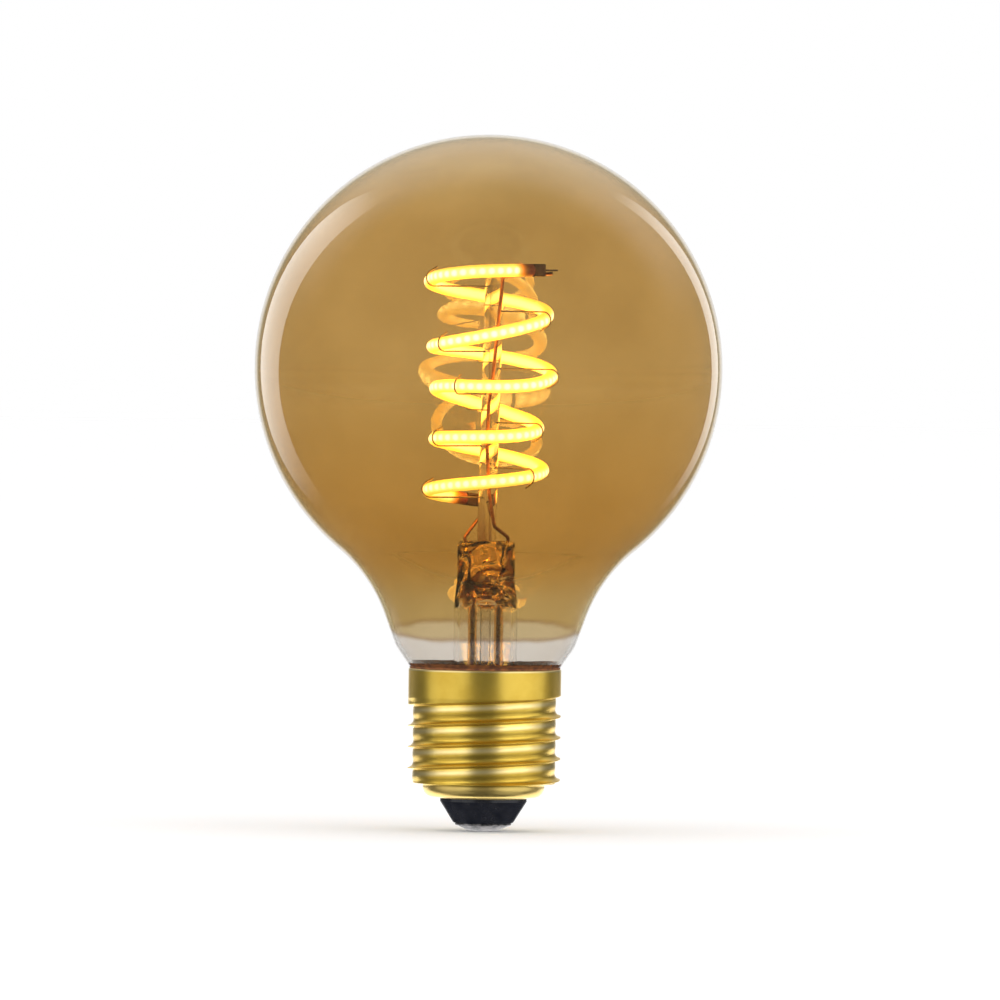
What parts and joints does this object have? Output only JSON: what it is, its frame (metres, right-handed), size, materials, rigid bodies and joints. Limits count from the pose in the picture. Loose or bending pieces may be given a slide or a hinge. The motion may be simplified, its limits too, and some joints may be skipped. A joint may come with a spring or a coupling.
{
  "type": "filament light bulb",
  "caption": "Round glass globe light bulb on a brass screw cap, with a coiled glowing filament held by wire hooks on a glass stem.",
  "frame": {"origin": "tip of the centre contact, on the axis of the lamp", "axes": "+Z along the axis from the cap to the globe, -Y towards the front of the coil as pictured"},
  "size_m": [0.08, 0.08, 0.1191],
  "materials": {
    "amber_glass": "clear gloss, amber coat above a clear neck",
    "clear_glass": "clear gloss",
    "cap_brass": "satin, rolled",
    "black_glass": "gloss black",
    "contact_brass": "satin",
    "solder": "dull bright metal",
    "cement": "matt",
    "filament_coat": "soft silicone coat, lit",
    "terminal_metal": "plain",
    "lead_metal": "drawn wire",
    "support_metal": "drawn wire",
    "sleeve": "woven glass tube, brown",
    "board": "green mask",
    "package": "matt black",
    "capacitor_can": "film sleeve",
    "fuse_coat": "lacquer",
    "resistor": "plain",
    "tinned_copper": "tinned"
  },
  "bodies": {
    "root": {"glass_envelope": "amber_glass", "stem_flare": "clear_glass", "exhaust_tube": "clear_glass", "stem_post": "clear_glass", "screw_shell": "cap_brass", "cap_insulator": "black_glass", "contact_eyelet": "contact_brass", "contact_solder": "solder", "cap_cement": "cement", "led_filament": "filament_coat", "filament_terminal_upper": "terminal_metal", "filament_terminal_lower": "terminal_metal", "lead_wire_upper": "lead_metal", "lead_wire_lower": "lead_metal", "lead_sleeve_upper": "sleeve", "lead_sleeve_lower": "sleeve", "driver_board": "board", "bridge_rectifier": "package", "driver_chip": "package", "smoothing_capacitor": "capacitor_can", "fuse_resistor": "fuse_coat", "chip_resistor_left": "resistor", "chip_resistor_right": "resistor", "neutral_wire": "tinned_copper", "support_wire_01": "support_metal", "support_wire_02": "support_metal", "support_wire_03": "support_metal", "support_wire_04": "support_metal", "support_wire_05": "support_metal", "support_wire_06": "support_metal", "support_wire_07": "support_metal", "support_wire_08": "support_metal", "support_wire_09": "support_metal", "support_wire_10": "support_metal", "support_wire_11": "support_metal", "support_wire_12": "support_metal", "support_wire_13": "support_metal"}
  },
  "joints": []
}
